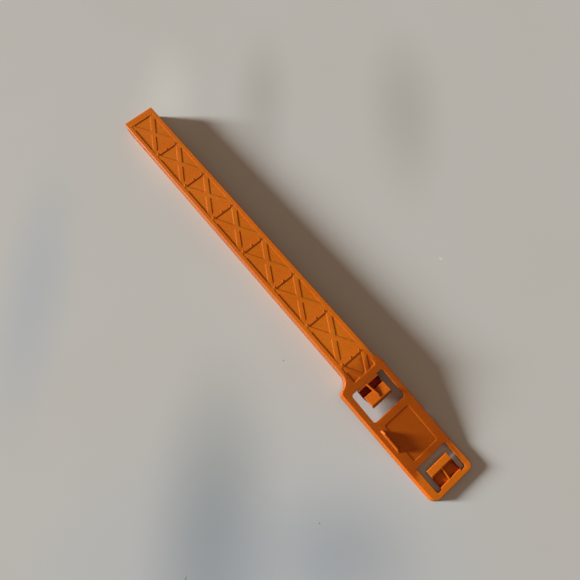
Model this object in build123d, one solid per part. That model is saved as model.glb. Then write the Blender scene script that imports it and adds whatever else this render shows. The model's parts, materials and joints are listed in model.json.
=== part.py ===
from build123d import *
import math
import os

# Lattice-faced clip arm, one injection-moulded toy part.
# A long open-bottomed channel carries a raised X-braced lattice on its top face.
# It widens into a shallow clip head with two windows, and each window holds a
# snap tongue. All sizes are in millimetres.
# Frame: +X from the tip to the clip head, +Y across, +Z up, z = 0 on the plane
# that the channel walls and the head's end stand on. Distances "s" below run
# along the part from the tip face.

# ---------------------------------------------------------------- dimensions
LENGTH = 377.5          # tip face to head end
ARM_W = 27.0            # outside width of the channel
ARM_Y = 3.2             # channel centreline, offset from the head centreline
HEAD_W = 38.0           # nominal width of the clip head
FLARE = 1.2             # the head's left rim stands out this much further
Y_SHIFT = FLARE / 2     # puts the origin midway across the finished part
HEAD_R = 4.0            # outer corner radius at the head's end

Z_TIP = 11.3            # top face height at the tip
RISE = 1.5 / 270.0      # the channel deepens slightly towards the neck
S_NECK = 275.0          # where the top face bends down
S_FLAT = 358.0          # where the head levels out again
Z_END = 3.0             # top face height at the head's end

T = 1.8                 # moulded plate thickness, borders and deck
RELIEF = 0.3            # depth of the lattice pockets
BRACE_DROP = 0.14       # the X braces stay this far below the borders
PANEL_DEPTH = 0.25      # depth of the recessed panel in the head
WALL = 1.5              # channel side wall thickness
RIM = 1.5               # head rim thickness
BORDER_L = 3.1          # raised border beside the lattice, left
BORDER_R = 3.4          # raised border beside the lattice, right
TIP_BORDER = 6.4        # raised border at the tip
PITCH = 37.65           # lattice cell pitch
STRUT = 2.75            # transverse strut width
BRACE = 3.2             # X brace width
LATTICE_END = 283.8     # end of the lattice panel
STUD_Y = (-5.4, 2.7, 10.8)              # three rivet-like studs on each strut
N_CELLS = 7

WIN1 = (288.7, 313.2, -14.7, 14.6)      # inner clip window: s0, s1, y0, y1
WIN2 = (353.7, 374.1, -12.6, 14.9)      # outer clip window
PANEL = (318.7, 349.1, -10.5, 12.1)     # recessed panel between the windows
FIN = (319.5, 338.2, -15.1, -13.3)      # grip fin footprint
FIN_H = 2.5

PIN_R = 1.4             # cross pin hole near the tip
PIN_S = 25.0
PIN_Z = 3.1

TONGUE1_Y = (-8.5, 9.5)
TONGUE2_Y = (-8.4, 10.5)
HINGE1 = (289.5, 10.55)  # s, z of the inner tongue's root
HINGE2 = (373.35, 2.3)   # s, z of the outer tongue's root

Y0 = ARM_Y - ARM_W / 2   # channel outside faces
Y1 = ARM_Y + ARM_W / 2
H = HEAD_W / 2
HL = H + FLARE          # left side of the head


def X(s):
    return s - LENGTH / 2


# --------------------------------------------------- top face height along s
SLOPE = (Z_END - (Z_TIP + RISE * S_NECK)) / (S_FLAT - S_NECK)
B1, B2 = 268.0, 282.0    # length over which the neck bend is blended
B3, B4 = 354.5, 361.5    # length over which the end bend is blended


def z_curve(s):
    arm = Z_TIP + RISE * s
    head = Z_TIP + RISE * S_NECK + SLOPE * (s - S_NECK)
    if s <= B1:
        return arm
    if s < B2:
        return arm + (SLOPE - RISE) * (s - B1) ** 2 / (2 * (B2 - B1))
    if s <= B3:
        return head
    if s < B4:
        return head - SLOPE * (s - B3) ** 2 / (2 * (B4 - B3))
    return Z_END


KNOTS = [B1 + (B2 - B1) * i / 7 for i in range(8)] + [B3 + (B4 - B3) * i / 5 for i in range(6)]


def z_top(s):
    """The curve above as straight runs between the knots, so that layers that
    share the surface meet without a gap."""
    for a, b in zip(KNOTS, KNOTS[1:]):
        if a <= s <= b:
            za, zb = z_curve(a), z_curve(b)
            return za + (zb - za) * (s - a) / (b - a)
    return z_curve(s)


def stations(s0, s1):
    return [s0] + [k for k in KNOTS if s0 + 1e-6 < k < s1 - 1e-6] + [s1]


def prism_xz(pts, y0, y1):
    """A closed outline in (s, z), extruded from y0 to y1."""
    w = Wire.make_polygon([Vector(X(s), y0, z) for s, z in pts], close=True)
    return Solid.extrude(Face(w), Vector(0, y1 - y0, 0))


def prism_xy(pts, z0=-5.0, z1=30.0):
    """A closed outline in (s, y), extruded from z0 to z1."""
    w = Wire.make_polygon([Vector(X(s), y, z0) for s, y in pts], close=True)
    return Solid.extrude(Face(w), Vector(0, 0, z1 - z0))


def band(s0, s1, y0, y1, d0, d1):
    """The layer between d0 and d1 below the top face."""
    st = stations(s0, s1)
    up = [(s, z_top(s) - d0) for s in st]
    dn = [(s, z_top(s) - d1) for s in reversed(st)]
    return prism_xz(up + dn, y0, y1)


def rim_bottom(s):
    """Lower edge of the head's rim: it lifts off behind the neck and comes
    back down to the base plane at the head's end."""
    if s <= 275.0:
        return 0.0
    if s < 286.0:
        t = (s - 275.0) / 11.0
        return 6.0 * t * t * (3 - 2 * t)
    if s < 355.0:
        return 6.0 * (355.0 - s) / 69.0
    return 0.0


RKNOTS = [275.0, 277.2, 279.4, 281.6, 283.8, 286.0, 355.0]


def skirt(s0, s1, y0, y1):
    """Solid from the underside of the top plate down to the rim's lower edge."""
    st = stations(s0, s1)
    up = [(s, z_top(s) - T) for s in st]
    rs = [s0] + [k for k in RKNOTS if s0 + 1e-6 < k < s1 - 1e-6] + [s1]
    dn = [(s, rim_bottom(s)) for s in reversed(rs)]
    return prism_xz(up + dn, y0, y1)


# ----------------------------------------------------- head outline in plan
LEFT_SHOULDER = [(274.0, Y0), (276.0, Y0 - 0.4), (278.0, Y0 - 1.4), (279.6, Y0 - 2.8), (281.0, Y0 - 4.6),
                 (282.0, Y0 - 6.3), (282.7, Y0 - 7.8), (283.5, Y0 - 9.0), (284.7, Y0 - 9.7), (286.5, -HL)]
RIGHT_SHOULDER = [(275.0, Y1), (277.5, Y1 + 0.15), (279.5, Y1 + 0.6), (281.3, Y1 + 1.3), (282.8, Y1 + 1.9),
                  (284.3, Y1 + 2.23), (286.0, H)]


def corner(cx, cy, a0, a1, r, n=8):
    return [(cx + r * math.cos(math.radians(a0 + (a1 - a0) * i / n)),
             cy + r * math.sin(math.radians(a0 + (a1 - a0) * i / n))) for i in range(n + 1)]


OUTLINE = (LEFT_SHOULDER
           + corner(LENGTH - HEAD_R, -HL + HEAD_R, -90, 0, HEAD_R)
           + corner(LENGTH - HEAD_R, H - HEAD_R, 0, 90, HEAD_R)
           + list(reversed(RIGHT_SHOULDER)))


def offset_line(pts, d):
    """The open line moved sideways by d, to the left of its direction."""
    out = []
    for i, (x, y) in enumerate(pts):
        a = pts[max(i - 1, 0)]
        b = pts[min(i + 1, len(pts) - 1)]
        tx, ty = b[0] - a[0], b[1] - a[1]
        n = math.hypot(tx, ty)
        out.append((x - ty / n * d, y + tx / n * d))
    return out


parts = {}

# ------------------------------------------------------------- channel arm
S_ARM = 274.0            # the straight channel ends here on the left
S_ARM_R = 275.0
parts["left_border"] = band(TIP_BORDER, S_ARM, Y0, Y0 + BORDER_L, 0, T)
parts["right_border"] = band(TIP_BORDER, S_ARM_R, Y1 - BORDER_R, Y1, 0, T)
parts["tip_border"] = band(0, TIP_BORDER, Y0, Y1, 0, T)
parts["lattice_web"] = band(TIP_BORDER, LATTICE_END, Y0 + BORDER_L, Y1 - BORDER_R, RELIEF, T)


def wall(s0, s1, y0, y1):
    st = stations(s0, s1)
    w = prism_xz([(s, z_top(s) - T) for s in st] + [(s1, 0.0), (s0, 0.0)], y0, y1)
    return w


pin = Solid.make_cylinder(PIN_R, ARM_W + 10, Plane(origin=(X(PIN_S), Y0 - 5, PIN_Z), z_dir=(0, 1, 0)))
parts["left_wall"] = wall(WALL, S_ARM, Y0, Y0 + WALL) - pin
parts["right_wall"] = wall(WALL, S_ARM_R, Y1 - WALL, Y1) - pin
parts["tip_wall"] = wall(0, WALL, Y0, Y1)

# ribs across the inside of the channel, under every second strut
ribs = []
for i in (2, 4, 6):
    s = TIP_BORDER + i * PITCH - STRUT / 2
    st = s
    z1 = z_top(s - 0.6) - T
    z2 = z_top(s + 0.6) - T
    ribs.append(prism_xz([(s - 0.6, 5.0), (s + 0.6, 5.0), (s + 0.6, z2), (s - 0.6, z1)], Y0 + WALL, Y1 - WALL))
parts["channel_ribs"] = Compound(children=ribs)
parts["neck_bulkhead"] = prism_xz(
    [(271.0, 0.0), (272.2, 0.0)] + [(s, z_top(s) - T) for s in reversed(stations(271.0, 272.2))],
    Y0 + WALL, Y1 - WALL)

# ----------------------------------------------------- lattice on the face
py0, py1 = Y0 + BORDER_L, Y1 - BORDER_R
cell = PITCH - STRUT
half = math.atan2(py1 - py0, cell)


def bar(s0, up):
    """One diagonal brace of a cell, as a strip corner to corner."""
    c = (s0 + cell / 2, (py0 + py1) / 2)
    a = half if up else -half
    L2 = math.hypot(cell, py1 - py0) / 2 + 4
    ux, uy = math.cos(a), math.sin(a)
    vx, vy = -uy * BRACE / 2, ux * BRACE / 2
    return prism_xy([(c[0] - ux * L2 - vx, c[1] - uy * L2 - vy), (c[0] + ux * L2 - vx, c[1] + uy * L2 - vy),
                     (c[0] + ux * L2 + vx, c[1] + uy * L2 + vy), (c[0] - ux * L2 + vx, c[1] - uy * L2 + vy)])


braces = []
for i in range(N_CELLS + 1):
    s0 = TIP_BORDER + i * PITCH
    s1 = min(s0 + cell, LATTICE_END)
    layer = band(s0, s1, py0, py1, BRACE_DROP, RELIEF)
    x = (bar(s0, True) + bar(s0, False)) & layer
    braces += list(x.solids())
parts["cross_braces"] = Compound(children=braces)
struts = [band(TIP_BORDER + i * PITCH - STRUT, TIP_BORDER + i * PITCH, py0, py1, 0, RELIEF)
          for i in range(1, N_CELLS + 1)]
parts["cell_struts"] = Compound(children=struts)
studs = []
for i in range(1, N_CELLS + 1):
    s = TIP_BORDER + i * PITCH - STRUT / 2
    for y in STUD_Y:
        studs.append(Solid.make_cylinder(0.7, 0.3, Plane(origin=(X(s), y, z_top(s) + 0.01))))
parts["strut_studs"] = Compound(children=studs)

# --------------------------------------------------------------- clip head
outline = prism_xy(OUTLINE)
w1, w2 = WIN1, WIN2


def deck(s0, s1, y0, y1, d0=0.0, d1=T):
    return band(s0, s1, y0, y1, d0, d1)


# shoulders beside the end of the lattice, then the bar in front of window 1
parts["left_shoulder"] = deck(S_ARM, LATTICE_END, -HL - 1, py0) & outline
parts["right_shoulder"] = deck(S_ARM_R, LATTICE_END, py1, H + 1) & outline
parts["neck_bar"] = deck(LATTICE_END, w1[0], -HL - 1, H + 1) & outline
parts["inner_left_rail"] = deck(w1[0], w1[1], -HL, w1[2])
parts["inner_right_rail"] = deck(w1[0], w1[1], w1[3], H)
bridge = deck(w1[1], w2[0], -HL, H)
bridge = bridge - band(PANEL[0], PANEL[1], PANEL[2], PANEL[3], -1.0, PANEL_DEPTH)
parts["bridge_panel"] = bridge
parts["outer_left_rail"] = deck(w2[0], w2[1], -HL, w2[2]) & outline
parts["outer_right_rail"] = deck(w2[0], w2[1], w2[3], H) & outline
parts["end_bar"] = deck(w2[1], LENGTH, -HL, H) & outline

# rim hanging from the head's outline
left_in = offset_line(LEFT_SHOULDER, RIM)
left_in[0] = (S_ARM, Y0 + RIM)
left_in[-1] = (286.5, -HL + RIM)
right_in = [(x, y) for x, y in offset_line(RIGHT_SHOULDER, -RIM)]
right_in[0] = (S_ARM_R, Y1 - RIM)
right_in[-1] = (286.0, H - RIM)
sk = skirt(S_ARM, LENGTH, -HL - 1, H + 1)
parts["left_shoulder_rim"] = prism_xy(LEFT_SHOULDER + list(reversed(left_in))) & sk
parts["right_shoulder_rim"] = prism_xy(RIGHT_SHOULDER + list(reversed(right_in))) & sk
S_RIM = LENGTH - HEAD_R
parts["left_rim"] = skirt(286.5, S_RIM, -HL, -HL + RIM)
parts["right_rim"] = skirt(286.0, S_RIM, H - RIM, H)
endpts = (corner(LENGTH - HEAD_R, -HL + HEAD_R, -90, 0, HEAD_R) + corner(LENGTH - HEAD_R, H - HEAD_R, 0, 90, HEAD_R)
          + corner(LENGTH - HEAD_R, H - HEAD_R, 90, 0, HEAD_R - RIM) + corner(LENGTH - HEAD_R, -HL + HEAD_R, 0, -90, HEAD_R - RIM))
parts["end_rim"] = prism_xy(endpts) & sk

# grip fin on the left border of the head
f0, f1, fy0, fy1 = FIN
fin_pts = [(s, z_top(s)) for s in (f0, f1)]
fin = prism_xz([(f0, z_top(f0)), (f1, z_top(f1)), (f1 - 2.4, z_top(f1 - 2.4) + FIN_H), (f0 + 2.8, z_top(f0 + 2.8) + FIN_H)],
               fy0, fy1)
parts["grip_fin"] = fin


# ------------------------------------------------------------ snap tongues
def bead(h, r, y0, y1):
    return Solid.make_cylinder(r, y1 - y0, Plane(origin=(X(h[0]), y0, h[1]), z_dir=(0, 1, 0)))


# inner tongue: root wall hangs from the bead, floor, riser, catch plate
a, b = TONGUE1_Y
parts["inner_tongue_root"] = prism_xz([(289.15, 2.6), (290.4, 2.6), (290.4, 10.55), (289.15, 10.55)], a, b) \
    + bead(HINGE1, 0.65, a, b)
parts["inner_tongue_floor"] = prism_xz([(290.4, 2.6), (295.4, 2.6), (295.4, 4.0), (290.4, 4.0)], a, b)
catch1 = prism_xz([(295.4, 2.6), (296.8, 2.6), (296.8, 8.25), (303.9, 8.85), (303.9, 7.5), (305.2, 7.5), (305.25, 8.9),
                   (304.75, 10.05), (303.3, 10.85), (301.6, 10.75), (295.4, 9.7)], a, b)
leaf1 = parts["inner_tongue_root"] + parts["inner_tongue_floor"]


def skew_rib(pts, sa, ya, sb, yb, t):
    """A thin web standing along a slightly skewed line in plan."""
    solid = prism_xz(pts, -H, H)
    n = math.hypot(sb - sa, yb - ya)
    ux, uy = (sb - sa) / n, (yb - ya) / n
    e = 3.0
    strip = prism_xy([(sa - ux * e + uy * t / 2, ya - uy * e - ux * t / 2), (sb + ux * e + uy * t / 2, yb + uy * e - ux * t / 2),
                      (sb + ux * e - uy * t / 2, yb + uy * e + ux * t / 2), (sa - ux * e - uy * t / 2, ya - uy * e + ux * t / 2)])
    return solid & strip


rib1 = skew_rib([(289.3, 10.7), (290.4, 10.0), (290.4, 4.0), (295.4, 4.0), (295.4, 9.7), (301.6, 10.75), (302.7, 10.8), (302.2, 11.0),
                 (300.4, 11.45), (291.2, 11.45), (289.3, 11.15)], 289.3, -1.4, 301.6, 0.6, 1.4) - leaf1 - catch1
parts["inner_catch_plate"] = catch1
parts["inner_tongue_rib"] = rib1

# outer tongue, mirrored end for end and shallower
a, b = TONGUE2_Y
parts["outer_tongue_root"] = prism_xz([(372.6, 0.25), (373.65, 0.25), (373.65, 2.3), (372.6, 2.3)], a, b) \
    + bead(HINGE2, 0.6, a, b)
parts["outer_tongue_floor"] = prism_xz([(365.4, 0.25), (372.6, 0.25), (372.6, 0.95), (365.4, 0.95)], a, b)
leaf2 = parts["outer_tongue_root"] + parts["outer_tongue_floor"]
catch2 = prism_xz([(359.2, 1.9), (360.4, 1.9), (360.5, 2.1), (364.4, 1.9), (364.4, 0.25), (365.4, 0.25), (365.4, 2.9), (363.9, 3.68), (359.5, 3.62),
                   (359.2, 3.3)], a, b)
rib2 = skew_rib([(363.9, 3.5), (365.4, 2.4), (365.4, 0.95), (372.6, 0.95), (372.6, 2.1), (373.3, 2.4), (373.3, 2.9), (366.0, 3.05), (364.4, 3.66)],
                363.8, 1.2, 373.4, 0.3, 1.2) - leaf2 - catch2
parts["outer_catch_plate"] = catch2
parts["outer_tongue_rib"] = rib2

os.makedirs("parts", exist_ok=True)
for name, shape in parts.items():
    sol = shape.solids() if hasattr(shape, "solids") else [shape]
    sol = list(sol)
    sol = [s.moved(Location((0, Y_SHIFT, 0))) for s in sol]
    out = sol[0] if len(sol) == 1 else Compound(children=sol)
    out.label = name
    export_step(out, "parts/%s.step" % name)
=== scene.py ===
import json
import math

import bpy
import bmesh
from mathutils import Matrix, Vector
from mathutils.geometry import delaunay_2d_cdt


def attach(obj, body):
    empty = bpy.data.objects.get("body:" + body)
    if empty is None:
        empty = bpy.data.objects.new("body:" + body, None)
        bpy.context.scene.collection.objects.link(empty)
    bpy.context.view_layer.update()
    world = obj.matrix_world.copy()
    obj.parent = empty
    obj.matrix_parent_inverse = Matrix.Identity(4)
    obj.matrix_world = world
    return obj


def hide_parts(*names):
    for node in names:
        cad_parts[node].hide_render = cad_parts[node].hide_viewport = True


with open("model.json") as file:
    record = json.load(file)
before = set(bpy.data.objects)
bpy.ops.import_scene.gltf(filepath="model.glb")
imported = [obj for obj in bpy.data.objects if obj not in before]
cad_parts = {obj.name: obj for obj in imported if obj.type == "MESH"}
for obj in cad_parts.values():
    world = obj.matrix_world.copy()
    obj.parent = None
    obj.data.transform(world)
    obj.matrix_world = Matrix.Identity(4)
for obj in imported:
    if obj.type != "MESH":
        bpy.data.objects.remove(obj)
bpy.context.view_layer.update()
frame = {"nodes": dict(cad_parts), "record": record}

# ------------------------------------------------------------------ sizes, mm
LENGTH, ARM_W, ARM_Y, HEAD_W, HEAD_R = 377.5, 27.0, 3.2, 38.0, 4.0
Y0, Y1, H = ARM_Y - ARM_W / 2, ARM_Y + ARM_W / 2, HEAD_W / 2
T = 1.8
Z_TIP, RISE, S_NECK, S_FLAT, Z_END = 11.3, 1.5 / 270.0, 275.0, 358.0, 3.0
B1, B2, B3, B4 = 268.0, 282.0, 354.5, 361.5
SLOPE = (Z_END - (Z_TIP + RISE * S_NECK)) / (S_FLAT - S_NECK)
TIP_BORDER, PITCH, STRUT, BRACE, LATTICE_END = 6.4, 37.65, 2.75, 3.2, 283.8
PY0, PY1 = Y0 + 3.1, Y1 - 3.4
CELL = PITCH - STRUT
YS = 0.6                                  # CAD origin is midway across the part
FLARE_L, FLARE_R = 1.5, 0.5               # how far the head's rims lean out


def X(s):
    return s - LENGTH / 2


def z_top(s):
    arm = Z_TIP + RISE * s
    head = Z_TIP + RISE * S_NECK + SLOPE * (s - S_NECK)
    if s <= B1:
        return arm
    if s < B2:
        return arm + (SLOPE - RISE) * (s - B1) ** 2 / (2 * (B2 - B1))
    if s <= B3:
        return head
    if s < B4:
        return head - SLOPE * (s - B3) ** 2 / (2 * (B4 - B3))
    return Z_END


def rim_bottom(s):
    if s <= 275.0:
        return 0.0
    if s < 286.0:
        t = (s - 275.0) / 11.0
        return 6.0 * t * t * (3 - 2 * t)
    if s < 355.0:
        return 6.0 * (355.0 - s) / 69.0
    return 0.0


# ----------------------------------------------------------- plan loops (s, y)
def arc(cx, cy, r, a0, a1, n):
    return [(cx + r * math.cos(math.radians(a0 + (a1 - a0) * i / n)),
             cy + r * math.sin(math.radians(a0 + (a1 - a0) * i / n))) for i in range(n + 1)]


def run(a, b, n, axis_y, side):
    """Points strictly between a and b along s at a constant y."""
    return [(a + (b - a) * i / n, axis_y) for i in range(1, n)]


def side_left(s):
    """Row y of the deck's left edge along the head."""
    return -19.55 + 1.25 * (s - 287.0) / 71.0


def lean(p, f):
    """Pushes a head point outwards by the share f of the rim's lean."""
    s, y = p
    if s < 272.0 or f <= 0:
        return p
    k = min(1.0, (s - 272.0) / 14.0)
    k = k * k * (3 - 2 * k)
    if y < 0:
        w = min(1.0, -y / 15.0)
        return (s, y - FLARE_L * f * k * w)
    w = min(1.0, y / 15.0)
    return (s, y + FLARE_R * f * k * w)


def outline(d, f=0.0):
    """The part's outline in plan moved in by d, always with the same count.
    f is how far down the leaning rim the ring is, from 0 to 1."""
    pts = plan_loop(d)
    return [lean(p, f) for p in pts]


def plan_loop(d):
    pts = []
    hl = -side_left(287.0)
    rt = max(1.0 - d, 0.25)
    rh = max(HEAD_R - d, 0.4)
    # tip corner, left
    pts += arc(d + rt, Y0 + d + rt, rt, 180, 270, 6)
    pts += [(1.6 + 0.9, Y0 + d)] + [(v, Y0 + d) for v in LEFT_STATIONS] 
    # left shoulder: a wide hollow curve, then a tight round
    phi, r1 = 80.0, 8.6
    r2 = (hl - abs(Y0) - r1 * (1 - math.cos(math.radians(phi)))) / (1 - math.cos(math.radians(phi)))
    c1 = (273.8, Y0 - r1)
    pts += arc(c1[0], c1[1], r1 + d, 90, 90 - phi, 12)
    ex, ey = c1[0] + r1 * math.sin(math.radians(phi)), c1[1] + r1 * math.cos(math.radians(phi))
    c2 = (ex + r2 * math.sin(math.radians(phi)), ey + r2 * math.cos(math.radians(phi)))
    pts += arc(c2[0], c2[1], max(r2 - d, 0.12), 180 + 90 - phi, 270, 7)
    pts += [(v, side_left(v) + d) for v in HEAD_LEFT]
    rl = 5.2 - d
    pts += arc(LENGTH - d - rl, side_left(372.0) + d + rl, rl, -90, 0, 10)
    pts += [(LENGTH - d, v) for v in END_Y]
    pts += arc(LENGTH - d - rh, H - d - rh, rh, 0, 90, 10)
    pts += [(v, H - d) for v in HEAD_RIGHT]
    # right shoulder: two wide curves
    rise = H - Y1
    phi = math.degrees(2 * math.atan(rise / 9.5))
    r = 9.5 / math.sin(math.radians(phi)) / 2
    pts += arc(284.5, H - r, max(r - d, 0.5), 90, 90 + phi, 7)
    pts += arc(275.0, Y1 + r, r + d, 270 + phi, 270, 7)[1:]
    pts += [(v, Y1 - d) for v in RIGHT_STATIONS]
    pts += [(1.6 + 0.9, Y1 - d)]
    pts += arc(d + rt, Y1 - d - rt, rt, 90, 180, 6)
    pts += [(d, v) for v in TIP_Y]
    return pts


LEFT_STATIONS = [6 + 8.4 * i for i in range(32)] + [269.5, 272.0]
HEAD_LEFT = [286.5, 289] + [292 + 5 * i for i in range(13)] + [354.5, 356.2, 358, 359.8, 361.5, 366, 370.5]
END_Y = [-13, -8, -3, 2, 7, 12.5]
HEAD_RIGHT = list(reversed(HEAD_LEFT))
RIGHT_STATIONS = list(reversed(LEFT_STATIONS))
TIP_Y = [14, 9, 4, -1, -6, -8.4]


def rounded(poly, r, n=4):
    """A convex polygon with round corners; r may be one number or one each."""
    out = []
    m = len(poly)
    for i, p in enumerate(poly):
        ri = r[i] if isinstance(r, (list, tuple)) else r
        a, b = poly[i - 1], poly[(i + 1) % m]
        va, vb = Vector((a[0] - p[0], a[1] - p[1])), Vector((b[0] - p[0], b[1] - p[1]))
        la, lb = va.length, vb.length
        va.normalize(); vb.normalize()
        half = va.angle(vb) / 2
        cut = min(ri / math.tan(half), 0.42 * la, 0.42 * lb)
        rr = cut * math.tan(half)
        bis = (va + vb).normalized()
        c = Vector(p) + bis * (rr / math.sin(half))
        t0, t1 = Vector(p) + va * cut, Vector(p) + vb * cut
        a0 = math.atan2(t0.y - c.y, t0.x - c.x)
        a1 = math.atan2(t1.y - c.y, t1.x - c.x)
        while a1 < a0 - math.pi:
            a1 += 2 * math.pi
        while a1 > a0 + math.pi:
            a1 -= 2 * math.pi
        for k in range(n + 1):
            t = a0 + (a1 - a0) * k / n
            out.append((c.x + rr * math.cos(t), c.y + rr * math.sin(t)))
    return out


def inset(poly, ds):
    """Moves each edge of a convex, anticlockwise polygon in by its own ds."""
    m = len(poly)
    lines = []
    for i in range(m):
        a, b = Vector(poly[i]), Vector(poly[(i + 1) % m])
        t = (b - a).normalized()
        n = Vector((-t.y, t.x))
        d = ds[i] if isinstance(ds, (list, tuple)) else ds
        lines.append((a + n * d, t))
    out = []
    for i in range(m):
        p, t = lines[i - 1]
        q, u = lines[i]
        k = ((q - p).x * u.y - (q - p).y * u.x) / (t.x * u.y - t.y * u.x)
        out.append(tuple(p + t * k))
    return out


def inside(p, poly):
    x, y = p
    c = False
    j = len(poly) - 1
    for i in range(len(poly)):
        xi, yi = poly[i]
        xj, yj = poly[j]
        if (yi > y) != (yj > y) and x < (xj - xi) * (y - yi) / (yj - yi) + xi:
            c = not c
        j = i
    return c


class Build:
    """Collects rings and caps into one closed mesh, in millimetres."""

    def __init__(self):
        self.bm = bmesh.new()
        self.caps = []

    def ring(self, pts, zf):
        out = []
        for i, (s, y) in enumerate(pts):
            z = zf(s) if callable(zf) else zf[i]
            out.append(self.bm.verts.new((X(s), y + YS, z)))
        return out

    def stitch(self, a, b, flip=False):
        n = len(a)
        for i in range(n):
            j = (i + 1) % n
            q = (a[i], a[j], b[j], b[i])
            self.bm.faces.new(tuple(reversed(q)) if flip else q)

    def cap(self, outer, holes, zf, up=True, extra=()):
        """Fills between one outer ring and hole rings, with optional points."""
        verts = list(outer)
        edges = [(i, (i + 1) % len(outer)) for i in range(len(outer))]
        for h in holes:
            o = len(verts)
            verts += h
            edges += [(o + i, o + (i + 1) % len(h)) for i in range(len(h))]
        xy = [(v.co.x, v.co.y) for v in verts]
        po = [(v.co.x, v.co.y) for v in outer]
        ph = [[(v.co.x, v.co.y) for v in h] for h in holes]
        pts = [Vector(p) for p in xy]
        for s, y in extra:
            q = (X(s), y + YS)
            if inside(q, po) and not any(inside(q, h) for h in ph):
                if min((Vector(q) - Vector(p)).length for p in xy) > 0.5:
                    pts.append(Vector(q))
        res = delaunay_2d_cdt(pts, edges, [], 0, 1e-5)
        co, faces, orig = res[0], res[2], res[3]
        table = []
        for k, c in enumerate(co):
            src = [o for o in orig[k] if o < len(verts)]
            if src:
                table.append(verts[src[0]])
            else:
                table.append(self.bm.verts.new((c.x, c.y, zf(c.x + LENGTH / 2))))
        made = []
        for f in faces:
            cx = sum(co[i].x for i in f) / len(f)
            cy = sum(co[i].y for i in f) / len(f)
            if not inside((cx, cy), po) or any(inside((cx, cy), h) for h in ph):
                continue
            a, b, c = (co[i] for i in f[:3])
            ccw = (b - a).x * (c - a).y - (b - a).y * (c - a).x > 0
            idx = list(f) if ccw == up else list(reversed(f))
            made.append(self.bm.faces.new([table[i] for i in idx]))
        return made

    def finish(self, name, smooth_angle=55.0):
        bm = self.bm
        bmesh.ops.remove_doubles(bm, verts=bm.verts, dist=1e-5)
        bmesh.ops.recalc_face_normals(bm, faces=bm.faces)
        for f in bm.faces:
            f.smooth = True
        for e in bm.edges:
            e.smooth = not (len(e.link_faces) == 2 and e.calc_face_angle(0) > math.radians(smooth_angle))
        bmesh.ops.scale(bm, vec=(0.001, 0.001, 0.001), verts=bm.verts)
        me = bpy.data.meshes.new(name)
        bm.to_mesh(me)
        bm.free()
        o = bpy.data.objects.new(name, me)
        bpy.context.scene.collection.objects.link(o)
        return o


def weighted(o):
    m = o.modifiers.new("normals", "WEIGHTED_NORMAL")
    m.keep_sharp = True
    m.weight = 60
    return o


def rect(s0, s1, y0, y1):
    return [(s0, y0), (s1, y0), (s1, y1), (s0, y1)]


# ------------------------------------------------------------ the main moulding
B = Build()
rings = []
for d, zf, f in (
        (0.46, lambda s: z_top(s), 0.0),
        (0.27, lambda s: z_top(s) - 0.045, 0.0),
        (0.12, lambda s: z_top(s) - 0.15, 0.0),
        (0.04, lambda s: z_top(s) - 0.36, 0.01),
        (0.02, lambda s: z_top(s) - 0.9, 0.10),
        (0.01, lambda s: rim_bottom(s) + 0.55, 0.92),
        (0.00, lambda s: rim_bottom(s) + 0.22, 0.98),
        (0.08, lambda s: rim_bottom(s) + 0.06, 1.0),
        (0.24, lambda s: rim_bottom(s), 1.0),
        (1.24, lambda s: rim_bottom(s), 1.0),
        (1.42, lambda s: rim_bottom(s) + 0.08, 1.0),
        (1.50, lambda s: rim_bottom(s) + 0.26, 0.98),
        (1.54, lambda s: z_top(s) - T - 0.62, 0.20),
        (1.62, lambda s: z_top(s) - T - 0.28, 0.12),
        (1.82, lambda s: z_top(s) - T - 0.07, 0.06),
        (2.15, lambda s: z_top(s) - T, 0.0)):
    rings.append(B.ring(outline(d, f), zf))
for a, b in zip(rings, rings[1:]):
    B.stitch(a, b, flip=True)


def window(poly, r):
    loops = []
    for d, zf in (
            (-0.20, lambda s: z_top(s)),
            (-0.09, lambda s: z_top(s) - 0.03),
            (-0.03, lambda s: z_top(s) - 0.10),
            (0.00, lambda s: z_top(s) - 0.22),
            (0.02, lambda s: z_top(s) - T + 0.2),
            (-0.03, lambda s: z_top(s) - T + 0.06),
            (-0.16, lambda s: z_top(s) - T)):
        rr = [max(v - d, 0.3) for v in r] if isinstance(r, (list, tuple)) else max(r - d, 0.3)
        loops.append(B.ring(rounded(inset(poly, d), rr, 6), zf))
    for a, b in zip(loops, loops[1:]):
        B.stitch(a, b, flip=False)
    return loops[0], loops[-1]


def pocket(poly, draft, top, depth, r, lip=0.06, foot=0.06, n=4, extra=(), fill=True):
    """A recess from level top down to depth; returns its rim and floor rings."""
    m = len(poly)
    dr = draft if isinstance(draft, (list, tuple)) else [draft] * m
    lp = lip if isinstance(lip, (list, tuple)) else [lip] * m
    span = depth - top
    specs = [([-v for v in lp], 0.0), ([-v * 0.3 for v in lp], 0.10), ([v * 0.12 for v in dr], 0.26),
             ([v * 0.86 for v in dr], 0.84), ([v + foot * 0.3 for v in dr], 0.96),
             ([v + foot for v in dr], 1.0)]
    loops = []
    for ds, k in specs:
        base = r if isinstance(r, (list, tuple)) else [r] * m
        rr = [max(v - min(ds), 0.12) for v in base]
        loops.append(B.ring(rounded(inset(poly, ds), rr, n), lambda s, k=k: z_top(s) - top - span * k))
    for a, b in zip(loops, loops[1:]):
        B.stitch(a, b, flip=False)
    if fill:
        B.cap(loops[-1], [], lambda s: z_top(s) - depth, True, extra)
    return loops[0], loops[-1]


grid = []
for i in range(15):
    s = 266.5 + 1.2 * i
    grid += [(s, y) for y in (-16.5, -13.5, -9.0, -5.5, -2, 1.5, 5, 8.5, 12, 15.0, 17.0)]
for i in range(8):
    s = 353.6 + 1.25 * i
    grid += [(s, y) for y in (-17, -14.5, 16.5, 18)]

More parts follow.
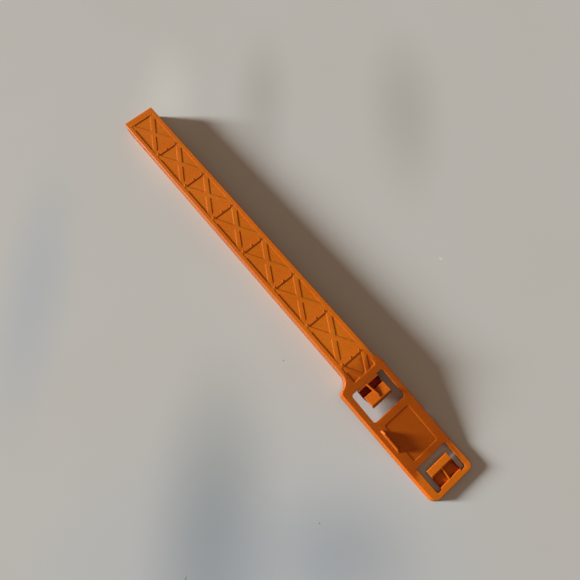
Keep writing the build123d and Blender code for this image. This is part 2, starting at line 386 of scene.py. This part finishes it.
holes_top, holes_bottom = [], []
SHALLOW, DEEP = 0.12, 0.34                # X bars' tops and the recess floor
LIP1, DRAFT1, FOOT1 = 0.20, 0.24, 0.04
half = math.atan2(PY1 - PY0, CELL)
hx, hy = BRACE / 2 / math.sin(half), BRACE / 2 / math.cos(half)
cy = (PY0 + PY1) / 2
e1 = DRAFT1 + FOOT1 + 0.05                # border side of the deep triangles
BAR_LIP, BAR_DRAFT = 0.20, 0.44


def deep(poly, kinds, r, g=()):
    """One triangle between the bars; kinds says what each edge meets."""
    drafts = [{"bar": BAR_DRAFT, "edge": 0.22, "ramp": 1.5}[k] for k in kinds]
    lips = [{"bar": BAR_LIP, "edge": 0.035, "ramp": 0.3}[k] for k in kinds]
    return pocket(poly, drafts, SHALLOW, DEEP, r, lip=lips, foot=0.05, extra=g)[0]


for i in range(8):
    s0 = TIP_BORDER + i * PITCH
    s1 = s0 + CELL
    c = s0 + CELL / 2
    apex = (CELL / 2) - hx
    ky = (PY1 - PY0) / 2 - hy
    a, q0, q1 = s0 + e1, PY0 + e1, PY1 - e1
    if i < 7:
        ha, hb = pocket(rect(s0, s0 + 35.35, PY0, PY1), [DRAFT1, 1.15, DRAFT1, DRAFT1], 0.0, SHALLOW,
                        [0.9, 0.5, 0.5, 0.35], lip=[LIP1, 0.35, LIP1, LIP1], foot=FOOT1, fill=False)
        holes_top.append(ha)
        r1 = s0 + 33.75
        # rows of the bars' edges: y at a given distance along the cell
        def rising(s, side):
            return PY0 + (s - s0) * math.tan(half) + side * hy

        def falling(s, side):
            return PY1 - (s - s0) * math.tan(half) + side * hy
        tip_tri = [(a, rising(a, 1)), (s0 + apex, cy), (a, falling(a, -1))]
        low_tri = [(s0 + (q0 - PY0 + hy) / math.tan(half), q0), (s0 + (PY1 - hy - q0) / math.tan(half), q0), (c, PY0 + ky)]
        up_tri = [(s0 + (q1 - PY0 - hy) / math.tan(half), q1), (c, PY1 - ky), (s0 + (PY1 + hy - q1) / math.tan(half), q1)]
        up_tri = [up_tri[0], up_tri[1], up_tri[2]]
        head_tri = [(s1 - apex, cy), (r1, falling(r1, 1)), (r1, rising(r1, -1))]
        holes = [deep(tip_tri, ("bar", "bar", "edge"), [0.5, 0.5, 0.5]),
                 deep(low_tri, ("edge", "bar", "bar"), 0.45),
                 deep(up_tri, ("bar", "bar", "edge"), 0.45),
                 deep(head_tri, ("bar", "ramp", "bar"), 0.5)]
        B.cap(hb, holes, lambda s: z_top(s) - SHALLOW, True)
    else:
        # the last cell is cut off by the head's deck
        e = LATTICE_END
        ha, hb = pocket(rect(s0, e, PY0, PY1), [DRAFT1, 0.35, DRAFT1, DRAFT1], 0.0, SHALLOW,
                        [0.9, 0.7, 1.4, 0.35], lip=[LIP1, 0.2, LIP1, LIP1], foot=FOOT1, fill=False)
        holes_top.append(ha)
        eb = e - 0.62
        tip_tri = [(a, PY0 + hy + e1 * math.tan(half)), (eb, cy - 0.9), (eb, cy + 0.9), (a, PY1 - hy - e1 * math.tan(half))]
        lo0 = s0 + (q0 - PY0 + hy) / math.tan(half)
        low_tri = [(lo0, q0), (eb, q0), (eb, PY0 + (eb - s0) * math.tan(half) - hy)]
        hi0 = s0 + (PY1 + hy - q1) / math.tan(half)
        up_tri = [(eb, PY1 - (eb - s0) * math.tan(half) + hy), (eb, q1), (hi0, q1)]
        holes = [deep(tip_tri, ("bar", "edge", "bar", "edge"), [0.5, 0.3, 0.3, 0.5], grid),
                 deep(low_tri, ("edge", "edge", "bar"), 0.45, grid),
                 deep(up_tri, ("edge", "edge", "bar"), [0.45, 1.2, 0.45], grid)]
        B.cap(hb, holes, lambda s: z_top(s) - SHALLOW, True, grid)

w1 = window(rect(288.7, 313.2, -14.7, 14.6), 1.9)
w2 = window(rect(353.7, 374.1, -12.6, 14.9), [1.0, 2.0, 1.6, 1.0])
holes_top += [w1[0], w2[0]]
holes_bottom += [w1[1], w2[1]]
holes_top.append(pocket(rect(318.7, 349.1, -10.55, 12.1), 0.3, 0.0, 0.2, 1.4, lip=0.25, foot=0.3)[0])
B.cap(rings[0], holes_top, z_top, True, grid)
B.cap(rings[-1], holes_bottom, lambda s: z_top(s) - T, False, grid)
body = B.finish("strap_moulding")


def cylinder(name, r, y0, y1, s, z, n=40):
    bm = bmesh.new()
    bmesh.ops.create_cone(bm, cap_ends=True, segments=n, radius1=r / 1000, radius2=r / 1000, depth=(y1 - y0) / 1000)
    bmesh.ops.transform(bm, matrix=Matrix.Translation((X(s) / 1000, (y0 + y1) / 2000 + YS / 1000, z / 1000)) @ Matrix.Rotation(math.radians(90), 4, "X"),
                        verts=bm.verts)
    me = bpy.data.meshes.new(name)
    bm.to_mesh(me)
    bm.free()
    o = bpy.data.objects.new(name, me)
    bpy.context.scene.collection.objects.link(o)
    return o


def cut(target, tool):
    m = target.modifiers.new("cut", "BOOLEAN")
    m.operation = "DIFFERENCE"
    m.solver = "EXACT"
    m.object = tool
    dg = bpy.context.evaluated_depsgraph_get()
    me = bpy.data.meshes.new_from_object(target.evaluated_get(dg))
    target.modifiers.clear()
    old = target.data
    target.data = me
    bpy.data.meshes.remove(old)
    bpy.data.objects.remove(tool)


cut(body, cylinder("pin_tool", 1.4, Y0 - 3, Y1 + 3, 25.0, 3.1))
weighted(body)


# ---------------------------------------------------------- extruded profiles
def profile_round(pts, radii, n=4):
    """Rounds the corners of a polygon that may be concave."""
    out = []
    m = len(pts)
    for i, p in enumerate(pts):
        r = radii[i] if isinstance(radii, (list, tuple)) else radii
        a, b = Vector(pts[i - 1]), Vector(pts[(i + 1) % m])
        q = Vector(p)
        va, vb = a - q, b - q
        la, lb = va.length, vb.length
        va.normalize(); vb.normalize()
        ang = va.angle(vb)
        if r <= 0.01 or ang > math.radians(176):
            out.append(tuple(q))
            continue
        hf = ang / 2
        c_len = min(r / math.tan(hf), 0.45 * la, 0.45 * lb)
        rr = c_len * math.tan(hf)
        c = q + (va + vb).normalized() * (rr / math.sin(hf))
        t0, t1 = q + va * c_len, q + vb * c_len
        a0 = math.atan2(t0.y - c.y, t0.x - c.x)
        a1 = math.atan2(t1.y - c.y, t1.x - c.x)
        while a1 < a0 - math.pi:
            a1 += 2 * math.pi
        while a1 > a0 + math.pi:
            a1 -= 2 * math.pi
        for k in range(n + 1):
            t = a0 + (a1 - a0) * k / n
            out.append((c.x + rr * math.cos(t), c.y + rr * math.sin(t)))
    return out


def offset_profile(pts, d):
    """Moves a closed, anticlockwise line inwards by a small distance d."""
    out = []
    m = len(pts)
    for i in range(m):
        a, p, b = Vector(pts[i - 1]), Vector(pts[i]), Vector(pts[(i + 1) % m])
        t0, t1 = (p - a), (b - p)
        if t0.length < 1e-6 or t1.length < 1e-6:
            t0 = t1 = (b - a)
        t0, t1 = t0.normalized(), t1.normalized()
        n0, n1 = Vector((-t0.y, t0.x)), Vector((-t1.y, t1.x))
        n = (n0 + n1)
        n = n.normalized() if n.length > 1e-6 else n0
        k = max(n.dot(n0), 0.5)
        out.append(tuple(p + n * (d / k)))
    return out


def extrude_profile(name, pts, y0, y1, bevel=0.3, shift=None):
    """A closed (s, z) profile swept across, with rounded side edges.
    shift(s, z) may move a point sideways."""
    bm = bmesh.new()
    area = sum(pts[i - 1][0] * pts[i][1] - pts[i][0] * pts[i - 1][1] for i in range(len(pts)))
    if area < 0:
        pts = list(reversed(pts))
    rows = []
    steps = [(bevel, 0.0), (bevel * 0.35, bevel * 0.12), (bevel * 0.08, bevel * 0.45), (0.0, bevel)]
    ys = [(y0 + t, d) for d, t in steps] + [(y1 - t, d) for d, t in reversed(steps)]
    for y, d in ys:
        loop = offset_profile(pts, d) if d > 0 else pts
        rows.append([bm.verts.new((X(s), y + YS + (shift(s, z) if shift else 0.0), z)) for s, z in loop])
    n = len(pts)
    for a, b in zip(rows, rows[1:]):
        for i in range(n):
            j = (i + 1) % n
            bm.faces.new((a[i], b[i], b[j], a[j]))
    for row in (rows[0], rows[-1]):
        f = bm.faces.new(row)
        bmesh.ops.triangulate(bm, faces=[f], ngon_method="EAR_CLIP")
    bmesh.ops.recalc_face_normals(bm, faces=bm.faces)
    for f in bm.faces:
        f.smooth = True
    for e in bm.edges:
        e.smooth = not (len(e.link_faces) == 2 and e.calc_face_angle(0) > math.radians(60))
    bmesh.ops.scale(bm, vec=(0.001, 0.001, 0.001), verts=bm.verts)
    me = bpy.data.meshes.new(name)
    bm.to_mesh(me)
    bm.free()
    o = bpy.data.objects.new(name, me)
    bpy.context.scene.collection.objects.link(o)
    return weighted(o)


# inner tongue: bead, root wall, floor, riser, catch plate
prof1 = [(288.50, z_top(288.5) - 0.01), (288.50, 10.5), (289.15, 9.6), (289.15, 2.6), (296.8, 2.6), (296.8, 8.25), (303.9, 8.85), (303.9, 7.5),
         (305.2, 7.5), (305.25, 8.9), (304.75, 10.05), (303.3, 10.85), (301.6, 10.75), (295.5, 9.7), (295.3, 4.0), (290.4, 4.0), (290.4, z_top(290.4) - 0.16), (290.2, z_top(290.2) - 0.01)]
rad1 = [0.02, 0.3, 0.3, 0.8, 0.8, 0.5, 0.3, 0.2, 0.4, 0.5, 0.7, 0.7, 0.6, 1.0, 0.6, 0.6, 0.1, 0.1]
tongue1 = extrude_profile("inner_tongue", profile_round(prof1, rad1), -8.5, 9.5, 0.35)
# outer tongue
prof2 = [(359.2, 1.9), (360.4, 1.9), (360.5, 2.1), (364.2, 1.9), (364.4, 0.25), (373.65, 0.25), (373.9, 2.0), (374.3, 2.3), (374.3, Z_END - 0.01), (372.9, Z_END - 0.01), (372.6, 2.4),
         (372.6, 0.95), (365.4, 0.95), (365.35, 2.9), (363.9, 3.68), (359.5, 3.62), (359.2, 3.3)]
rad2 = [0.2, 0.2, 0.15, 0.3, 0.4, 0.5, 0.3, 0.1, 0.02, 0.2, 0.2, 0.35, 0.4, 0.3, 0.5, 0.3, 0.15]
tongue2 = extrude_profile("outer_tongue", profile_round(prof2, rad2), -8.4, 10.5, 0.3)
# stiffening ribs on the tongues, slightly skewed
rib1 = extrude_profile("inner_rib", profile_round([(289.3, 10.4), (290.5, 9.6), (290.5, 3.9), (295.2, 3.9), (295.2, 9.6), (302.9, 10.6), (302.2, 11.0), (300.4, 11.45), (291.2, 11.45), (289.3, 11.15)],
                                                  [0.2, 0.3, 0.2, 0.2, 0.2, 0.2, 0.25, 0.6, 0.6, 0.1], 3), -0.72, 0.72, 0.34,
                       shift=lambda s, z: -1.4 + 2.0 * (s - 289.3) / 12.3)
rib2 = extrude_profile("outer_rib", profile_round([(364.2, 3.3), (365.5, 2.2), (365.5, 0.85), (372.7, 0.85), (372.7, 2.1), (373.6, 2.4), (373.6, 2.98), (366.0, 3.05), (364.4, 3.66)],
                                                  0.15, 3), -0.6, 0.6, 0.25,
                       shift=lambda s, z: 1.2 - 0.9 * (s - 363.8) / 9.6)


# ----------------------------------------------------------------- grip fin
def ring_stack(name, loops):
    bm = bmesh.new()
    rows = [[bm.verts.new((X(s), y + YS, z)) for s, y, z in l] for l in loops]
    n = len(rows[0])
    for a, b in zip(rows, rows[1:]):
        for i in range(n):
            j = (i + 1) % n
            bm.faces.new((a[i], a[j], b[j], b[i]))
    for row in (rows[0], rows[-1]):
        f = bm.faces.new(row)
        bmesh.ops.triangulate(bm, faces=[f])
    bmesh.ops.recalc_face_normals(bm, faces=bm.faces)
    for f in bm.faces:
        f.smooth = True
    bmesh.ops.scale(bm, vec=(0.001, 0.001, 0.001), verts=bm.verts)
    me = bpy.data.meshes.new(name)
    bm.to_mesh(me)
    bm.free()
    o = bpy.data.objects.new(name, me)
    bpy.context.scene.collection.objects.link(o)
    return weighted(o)


f0, f1, fy0, fy1, fh = 319.5, 338.2, -15.1, -13.3, 2.5
loops = []
for k, (d, h) in enumerate(((-0.35, -0.06), (-0.12, 0.04), (0.0, 0.22), (0.10, 0.62 * fh), (0.16, 0.88 * fh), (0.30, 0.97 * fh), (0.52, fh))):
    base = rounded(rect(f0 + d, f1 - d, fy0 + d, fy1 - d), max(0.62 - d, 0.1), 5)
    t = max(h, 0) / fh
    out = []
    for s, y in base:
        u = (s - f0) / (f1 - f0)
        su = s + 2.6 * t * (1 - u) - 2.2 * t * u      # both ends lean in towards the top
        out.append((su, y, z_top(su) + h))
    loops.append(out)
fin = ring_stack("fin", loops)

# studs on the struts: low round domes
stud_parts = []
for i in range(7):
    s = TIP_BORDER + (i + 1) * PITCH - STRUT / 2
    for y in (10.8, 2.7, -5.4):
        lp = []
        for r, h in ((0.86, -0.05), (0.76, 0.04), (0.62, 0.13), (0.44, 0.2), (0.2, 0.23)):
            lp.append([(s + r * math.cos(2 * math.pi * k / 20), y + r * math.sin(2 * math.pi * k / 20), z_top(s) + h) for k in range(20)])
        stud_parts.append(ring_stack("stud%d_%d" % (i, round(y)), lp))
for o in stud_parts:
    o.modifiers.clear()
bpy.ops.object.select_all(action="DESELECT")
for o in stud_parts:
    o.select_set(True)
bpy.context.view_layer.objects.active = stud_parts[0]
bpy.ops.object.join()
studs = bpy.context.view_layer.objects.active
studs.name = "studs"


# ---------------------------------------------------------------- materials
def plastic(name, base=(0.80, 0.194, 0.004), seed=0.0):
    m = bpy.data.materials.new(name)
    m.use_nodes = True
    nt = m.node_tree
    nt.nodes.clear()
    N = nt.nodes.new
    L = nt.links.new
    out = N("ShaderNodeOutputMaterial")
    bsdf = N("ShaderNodeBsdfPrincipled")
    L(bsdf.outputs[0], out.inputs[0])
    tc = N("ShaderNodeTexCoord")
    # broad, faint colour drift of the moulded plastic
    n1 = N("ShaderNodeTexNoise")
    n1.inputs["Scale"].default_value = 28.0
    n1.inputs["Detail"].default_value = 4.0
    n1.inputs["Roughness"].default_value = 0.55
    off = N("ShaderNodeMapping")
    off.inputs["Location"].default_value = (seed, seed * 0.7, seed * 0.3)
    L(tc.outputs["Object"], off.inputs[0])
    L(off.outputs[0], n1.inputs["Vector"])
    r1 = N("ShaderNodeValToRGB")
    r1.color_ramp.elements[0].position = 0.3
    r1.color_ramp.elements[0].color = (base[0] * 0.93, base[1] * 0.90, base[2] * 0.9, 1)
    r1.color_ramp.elements[1].position = 0.7
    r1.color_ramp.elements[1].color = (base[0] * 1.04, base[1] * 1.07, base[2] * 1.1, 1)
    L(n1.outputs[0], r1.inputs[0])
    # fine speckle of the textured mould
    n2 = N("ShaderNodeTexNoise")
    n2.inputs["Scale"].default_value = 1500.0
    n2.inputs["Detail"].default_value = 3.0
    L(off.outputs[0], n2.inputs["Vector"])
    mx = N("ShaderNodeMix")
    mx.data_type = "RGBA"
    mx.blend_type = "OVERLAY"
    mx.inputs["Factor"].default_value = 0.10
    L(r1.outputs[0], mx.inputs["A"])
    L(n2.outputs[0], mx.inputs["B"])
    # scuffs: long thin scratches along and across, lighter and rougher
    sc = N("ShaderNodeMapping")
    sc.inputs["Scale"].default_value = (90.0, 900.0, 300.0)
    sc.inputs["Rotation"].default_value = (0, 0, 0.35)
    L(off.outputs[0], sc.inputs[0])
    n3 = N("ShaderNodeTexNoise")
    n3.inputs["Scale"].default_value = 1.0
    n3.inputs["Detail"].default_value = 6.0
    n3.inputs["Roughness"].default_value = 0.75
    L(sc.outputs[0], n3.inputs["Vector"])
    r3 = N("ShaderNodeValToRGB")
    r3.color_ramp.elements[0].position = 0.66
    r3.color_ramp.elements[0].color = (0, 0, 0, 1)
    r3.color_ramp.elements[1].position = 0.78
    r3.color_ramp.elements[1].color = (1, 1, 1, 1)
    L(n3.outputs[0], r3.inputs[0])
    sf = N("ShaderNodeMath")
    sf.operation = "MULTIPLY"
    sf.inputs[1].default_value = 0.16
    L(r3.outputs[0], sf.inputs[0])
    mx2 = N("ShaderNodeMix")
    mx2.data_type = "RGBA"
    L(sf.outputs[0], mx2.inputs["Factor"])
    L(mx.outputs["Result"], mx2.inputs["A"])
    mx2.inputs["B"].default_value = (min(base[0] * 1.1, 1), base[1] * 1.7, base[2] * 3 + 0.03, 1)
    # painted shade: hollows go to a deep red, darkened by ambient occlusion to stand in for their shade
    ao = N("ShaderNodeAmbientOcclusion")
    ao.samples = 8
    ao.only_local = True
    ao.inputs["Distance"].default_value = 0.0055
    hollow_shade_amount = N("ShaderNodeMapRange")
    hollow_shade_amount.inputs["From Min"].default_value = 0.88
    hollow_shade_amount.inputs["From Max"].default_value = 0.50
    hollow_shade_amount.inputs["To Min"].default_value = 0.0
    hollow_shade_amount.inputs["To Max"].default_value = 1.0
    L(ao.outputs["AO"], hollow_shade_amount.inputs["Value"])
    hollow_shade_mix = N("ShaderNodeMix")
    hollow_shade_mix.data_type = "RGBA"
    L(hollow_shade_amount.outputs[0], hollow_shade_mix.inputs["Factor"])
    L(mx2.outputs["Result"], hollow_shade_mix.inputs["A"])
    # painted shade colour mixed into the hollows
    hollow_shade_mix.inputs["B"].default_value = (base[0] * 0.95, base[1] * 0.05, base[2] * 0.1, 1)
    # painted shade: faces that lean away from level are a tone deeper, steep walls most, standing in for how the
    # light falls on them
    geo = N("ShaderNodeNewGeometry")
    sep = N("ShaderNodeSeparateXYZ")
    L(geo.outputs["Normal"], sep.inputs[0])
    ab = N("ShaderNodeMath")
    ab.operation = "ABSOLUTE"
    L(sep.outputs["Z"], ab.inputs[0])
    tilt_shade_ramp = N("ShaderNodeValToRGB")
    el = tilt_shade_ramp.color_ramp.elements
    el[0].position = 0.0
    el[0].color = (0.36, 0.33, 0.32, 1)
    el[1].position = 1.0
    el[1].color = (1, 1, 1, 1)
    for pos, col in ((0.30, (0.44, 0.38, 0.34, 1)), (0.60, (0.70, 0.56, 0.42, 1)), (0.90, (0.84, 0.68, 0.50, 1)), (0.986, (0.81, 0.66, 0.45, 1)), (0.9965, (0.88, 0.76, 0.58, 1)), (0.9985, (1, 1, 1, 1))):
        e = el.new(pos)
        e.color = col
    L(ab.outputs[0], tilt_shade_ramp.inputs[0])
    # multiplies the painted tilt shade into the base colour
    tilt_shade_mix = N("ShaderNodeMix")
    tilt_shade_mix.data_type = "RGBA"
    tilt_shade_mix.blend_type = "MULTIPLY"
    tilt_shade_mix.inputs["Factor"].default_value = 1.0
    L(hollow_shade_mix.outputs["Result"], tilt_shade_mix.inputs["A"])
    L(tilt_shade_ramp.outputs[0], tilt_shade_mix.inputs["B"])
    L(tilt_shade_mix.outputs["Result"], bsdf.inputs["Base Color"])
    bsdf.inputs["Specular IOR Level"].default_value = 0.32
    # roughness
    rr = N("ShaderNodeMapRange")
    rr.inputs["From Min"].default_value = 0.35
    rr.inputs["From Max"].default_value = 0.7
    rr.inputs["To Min"].default_value = 0.40
    rr.inputs["To Max"].default_value = 0.52
    L(n1.outputs[0], rr.inputs["Value"])
    ra = N("ShaderNodeMath")
    ra.operation = "ADD"
    L(rr.outputs[0], ra.inputs[0])
    L(sf.outputs[0], ra.inputs[1])
    L(ra.outputs[0], bsdf.inputs["Roughness"])
    bsdf.inputs["IOR"].default_value = 1.49
    bsdf.inputs["Subsurface Weight"].default_value = 0.42
    bsdf.inputs["Subsurface Radius"].default_value = (0.0016, 0.0005, 0.0001)
    bsdf.inputs["Subsurface Scale"].default_value = 1.0
    # fine moulded grain and the scratches as relief
    bp = N("ShaderNodeBump")
    bp.inputs["Strength"].default_value = 0.35
    bp.inputs["Distance"].default_value = 0.00006
    L(n2.outputs[0], bp.inputs["Height"])
    bp2 = N("ShaderNodeBump")
    bp2.inputs["Strength"].default_value = 0.4
    bp2.inputs["Distance"].default_value = 0.00004
    bp2.invert = True
    L(r3.outputs[0], bp2.inputs["Height"])
    L(bp.outputs[0], bp2.inputs["Normal"])
    L(bp2.outputs[0], bsdf.inputs["Normal"])
    return m


MAT = plastic("orange_plastic_looks")
MAT2 = plastic("orange_plastic_tongues", seed=3.7)
for o, mat in ((body, MAT), (tongue1, MAT2), (tongue2, MAT2), (rib1, MAT2), (rib2, MAT2), (fin, MAT), (studs, MAT)):
    o.data.materials.clear()
    o.data.materials.append(mat)
kept = ("channel_ribs", "neck_bulkhead")
for n in kept:
    o = frame["nodes"][n]
    if o.material_slots:
        for k in o.material_slots:
            k.material = MAT
    else:
        o.data.materials.append(MAT)

strap_nodes = [n for n in frame["record"]["behaviour"]["bodies"]["strap"] if n not in kept + ("grip_fin", "strut_studs")]
for o in (body, fin, studs):
    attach(o, "strap")
for o in (tongue1, rib1):
    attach(o, "inner_tongue")
for o in (tongue2, rib2):
    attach(o, "outer_tongue")
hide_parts(*strap_nodes)
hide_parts("grip_fin")
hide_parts("strut_studs")
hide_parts("inner_tongue_root", "inner_tongue_floor", "inner_catch_plate")
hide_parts("inner_tongue_rib")
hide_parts("outer_tongue_root", "outer_tongue_floor", "outer_catch_plate")
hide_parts("outer_tongue_rib")

# ------------------------------------------------------------------- floor
bm = bmesh.new()
bmesh.ops.create_grid(bm, x_segments=4, y_segments=4, size=3.0)
me = bpy.data.meshes.new("floor")
bm.to_mesh(me)
bm.free()
floor = bpy.data.objects.new("floor", me)
floor.location = (0, 0, -0.00005)
bpy.context.scene.collection.objects.link(floor)
fm = bpy.data.materials.new("floor_looks")
fm.use_nodes = True
fb = fm.node_tree.nodes["Principled BSDF"]
ft = fm.node_tree.nodes.new("ShaderNodeTexNoise")
ft.inputs["Scale"].default_value = 9.0
ft.inputs["Detail"].default_value = 5.0
ftc = fm.node_tree.nodes.new("ShaderNodeTexCoord")
fm.node_tree.links.new(ftc.outputs["Object"], ft.inputs["Vector"])
fr = fm.node_tree.nodes.new("ShaderNodeValToRGB")
fr.color_ramp.elements[0].position = 0.3
fr.color_ramp.elements[0].color = (0.722, 0.71, 0.672, 1)
fr.color_ramp.elements[1].position = 0.7
fr.color_ramp.elements[1].color = (0.742, 0.734, 0.70, 1)
fm.node_tree.links.new(ft.outputs[0], fr.inputs[0])
last = fr.outputs[0]
nl = fm.node_tree
# broad soft bands of painted light and shade where the table's lighting is uneven, and a few small marks on the
# table: centre, half sizes (m), turn, tone
for cx, cy_, rx, ry, turn, tone in (
        (0.1780, -0.1560, 0.240, 0.190, 50, (0.93, 1.0, 1.12)),
        (0.1090, -0.1450, 0.058, 0.150, 50, (0.66, 0.70, 0.73)),
        (0.1700, -0.0870, 0.075, 0.060, 50, (0.78, 0.81, 0.84)),
        (-0.1400, 0.1000, 0.034, 0.100, 50, (0.86, 0.85, 0.84)),
        (-0.0500, 0.1900, 0.045, 0.120, 50, (0.85, 0.85, 0.83)),
        (-0.1870, 0.0270, 0.038, 0.100, 50, (1.14, 1.14, 1.12)),
        (-0.1130, -0.1500, 0.040, 0.150, 50, (0.86, 0.91, 1.0)),
        (0.1164, -0.1724, 0.0006, 0.0026, 30, (0.35, 0.35, 0.36)),
        (0.0494, -0.0338, 0.0009, 0.0009, 0, (0.45, 0.42, 0.42)),
        (0.1478, -0.0848, 0.0007, 0.0012, 10, (0.5, 0.5, 0.5)),
        (0.0680, 0.1130, 0.0022, 0.0014, 20, (1.3, 1.3, 1.25))):
    mp = nl.nodes.new("ShaderNodeMapping")
    mp.vector_type = "TEXTURE"
    mp.inputs["Location"].default_value = (cx, cy_, 0)
    mp.inputs["Rotation"].default_value = (0, 0, math.radians(turn))
    mp.inputs["Scale"].default_value = (rx, ry, 1)
    nl.links.new(ftc.outputs["Object"], mp.inputs[0])
    gr = nl.nodes.new("ShaderNodeTexGradient")
    gr.gradient_type = "SPHERICAL"
    nl.links.new(mp.outputs[0], gr.inputs[0])
    mr = nl.nodes.new("ShaderNodeMapRange")
    mr.interpolation_type = "SMOOTHSTEP"
    nl.links.new(gr.outputs[0], mr.inputs["Value"])
    # multiplies in each painted light or shade band, or a small mark's own tone
    mm = nl.nodes.new("ShaderNodeMix")
    mm.data_type = "RGBA"
    mm.blend_type = "MULTIPLY"
    nl.links.new(mr.outputs[0], mm.inputs["Factor"])
    nl.links.new(last, mm.inputs["A"])
    mm.inputs["B"].default_value = tone + (1,)
    last = mm.outputs["Result"]
nl.links.new(last, fb.inputs["Base Color"])
fb.inputs["Roughness"].default_value = 0.75
fb.inputs["Specular IOR Level"].default_value = 0.25
floor.data.materials.append(fm)

# ------------------------------------------------------------------ light
W = bpy.data.worlds.new("soft_fill")
bpy.context.scene.world = W
W.use_nodes = True
W.node_tree.nodes["Background"].inputs[0].default_value = (1.0, 0.70, 0.50, 1)
W.node_tree.nodes["Background"].inputs[1].default_value = 0.20

elev = math.radians(10.65)
d = Vector((0.687 * math.cos(elev), 0.727 * math.cos(elev), -math.sin(elev)))
sun = bpy.data.lights.new("key", "SUN")
sun.energy = 8.2
sun.angle = math.radians(10.5)
sun.color = (0.90, 0.975, 1.0)
key = bpy.data.objects.new("key", sun)
key.rotation_mode = "QUATERNION"
key.rotation_quaternion = d.to_track_quat("-Z", "Y")
bpy.context.scene.collection.objects.link(key)

# ------------------------------------------------------------------ camera
cam = bpy.data.cameras.new("camera")
cam.sensor_width = 36.0
cam.sensor_fit = "HORIZONTAL"
cam.lens = 36.0 * 436.0 / 580.0
cam.clip_start = 0.01
cam_o = bpy.data.objects.new("camera", cam)
look = Vector((-0.2211, 0.1865, -0.9573)).normalized()
up = Vector((-0.7316, 0.6173, 0.2892))
right = look.cross(up).normalized()
up = right.cross(look).normalized()
rot = Matrix((right, up, -look)).transposed().to_4x4()
cam_o.matrix_world = Matrix.Translation(Vector((85.55, -58.63 + YS, 323.6)) / 1000) @ rot
bpy.context.scene.collection.objects.link(cam_o)
bpy.context.scene.camera = cam_o
bpy.context.scene.view_settings.view_transform = "Standard"
bpy.context.scene.view_settings.look = "None"
